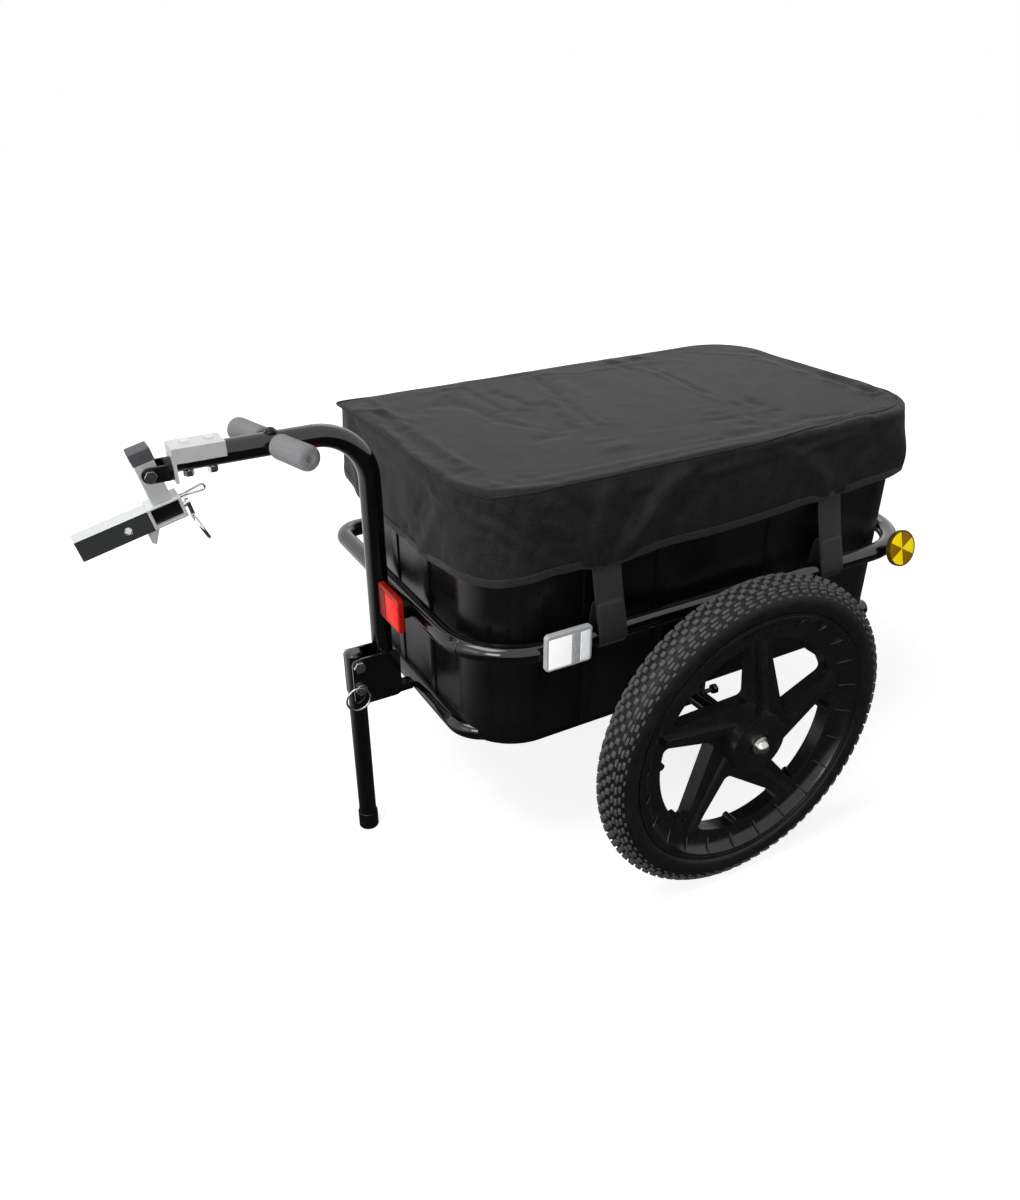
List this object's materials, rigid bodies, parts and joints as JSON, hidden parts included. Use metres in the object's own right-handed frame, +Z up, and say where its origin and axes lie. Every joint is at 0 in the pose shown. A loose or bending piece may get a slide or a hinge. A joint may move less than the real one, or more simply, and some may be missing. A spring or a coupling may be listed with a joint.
{
  "type": "mobility scooter trailer",
  "caption": "Covered two-wheeled tub trailer with a swan-neck drawbar, T-handle, folding leg and jointed square-bar coupling, for towing behind a mobility scooter.",
  "frame": {"origin": "on the floor, in the middle of the trailer's outline", "axes": "+X forward towards the coupling, +Y to the left, +Z up"},
  "size_m": [1.0028, 0.651, 0.5584],
  "materials": {
    "black_paint": "gloss powder coat",
    "black_steel": "satin",
    "zinc_steel": "bright zinc",
    "chrome": "polished plating",
    "tub_plastic": "satin moulded",
    "rim_plastic": "satin moulded",
    "black_plastic": "satin moulded",
    "grey_plastic": "matt",
    "tyre_rubber": "matt, knobbly tread",
    "grip_foam": "matt foam",
    "cover_fabric": "coated woven polyester",
    "webbing": "woven webbing",
    "red_lens": "prismatic lens",
    "clear_lens": "prismatic lens",
    "amber_lens": "prismatic lens"
  },
  "bodies": {
    "chassis": {"tub": "tub_plastic", "frame_loop": "black_paint", "frame_rails": "black_paint", "axle": "black_paint", "frame_strut_left": "black_paint", "frame_strut_right": "black_paint", "drawbar": "black_paint", "frame_joint": "black_paint", "handle_bar": "black_paint", "handle_grip_left": "grip_foam", "handle_grip_right": "grip_foam", "leg_bracket": "black_paint", "leg_pivot_bolt": "zinc_steel", "leg_lock_pin": "zinc_steel", "leg_pin_clip": "zinc_steel", "reflector_side": "clear_lens", "reflector_side_clip": "black_plastic", "reflector_front": "red_lens", "reflector_front_bracket": "black_plastic", "reflector_round": "amber_lens", "reflector_round_bracket": "black_plastic", "axle_nut_left": "zinc_steel", "axle_nut_right": "zinc_steel", "hitch_saddle": "chrome", "hitch_saddle_bolts": "chrome", "strap_left_front": "webbing", "strap_left_rear": "webbing", "strap_right_front": "webbing", "strap_right_rear": "webbing"},
    "cover": {"cover": "cover_fabric"},
    "leg": {"leg_tube": "black_paint", "leg_foot": "black_plastic"},
    "wheel_left": {"wheel_left_rim": "rim_plastic", "wheel_left_tyre": "tyre_rubber", "wheel_left_bush": "black_plastic"},
    "wheel_right": {"wheel_right_rim": "rim_plastic", "wheel_right_tyre": "tyre_rubber", "wheel_right_bush": "black_plastic"},
    "swivel": {"hitch_swivel": "black_steel", "hitch_cross_bolt": "chrome"},
    "post": {"hitch_post": "chrome", "hitch_post_cap": "grey_plastic"},
    "coupling": {"hitch_block": "black_plastic", "hitch_bracket": "chrome", "hitch_bar": "chrome", "hitch_wing_screw": "chrome", "hitch_release_pin": "chrome"}
  },
  "joints": [
    {"name": "wheel_left_spin", "type": "hinge", "parent": "chassis", "child": "wheel_left", "pos_m": [-0.1344, 0.29, 0.2], "axis": [0, 1, 0], "continuous": true},
    {"name": "wheel_right_spin", "type": "hinge", "parent": "chassis", "child": "wheel_right", "pos_m": [-0.1344, -0.29, 0.2], "axis": [0, 1, 0], "continuous": true},
    {"name": "leg_fold", "type": "hinge", "parent": "chassis", "child": "leg", "pos_m": [0.2276, 0, 0.253], "axis": [0, -1, 0], "range_deg": [0, 90]},
    {"name": "cover_lift", "type": "slide", "parent": "chassis", "child": "cover", "axis": [0, 0, 1], "range_m": [0, 0.25]},
    {"name": "coupling_roll", "type": "hinge", "parent": "chassis", "child": "swivel", "pos_m": [0.3976, 0, 0.53], "axis": [1, 0, 0], "range_deg": [-20, 20]},
    {"name": "coupling_pitch", "type": "hinge", "parent": "swivel", "child": "post", "pos_m": [0.4206, 0, 0.53], "axis": [0, 1, 0], "range_deg": [-26, 7]},
    {"name": "coupling_yaw", "type": "hinge", "parent": "post", "child": "coupling", "pos_m": [0.4206, 0, 0.53], "axis": [0.2419, 0, 0.9703], "range_deg": [-60, 60]}
  ]
}
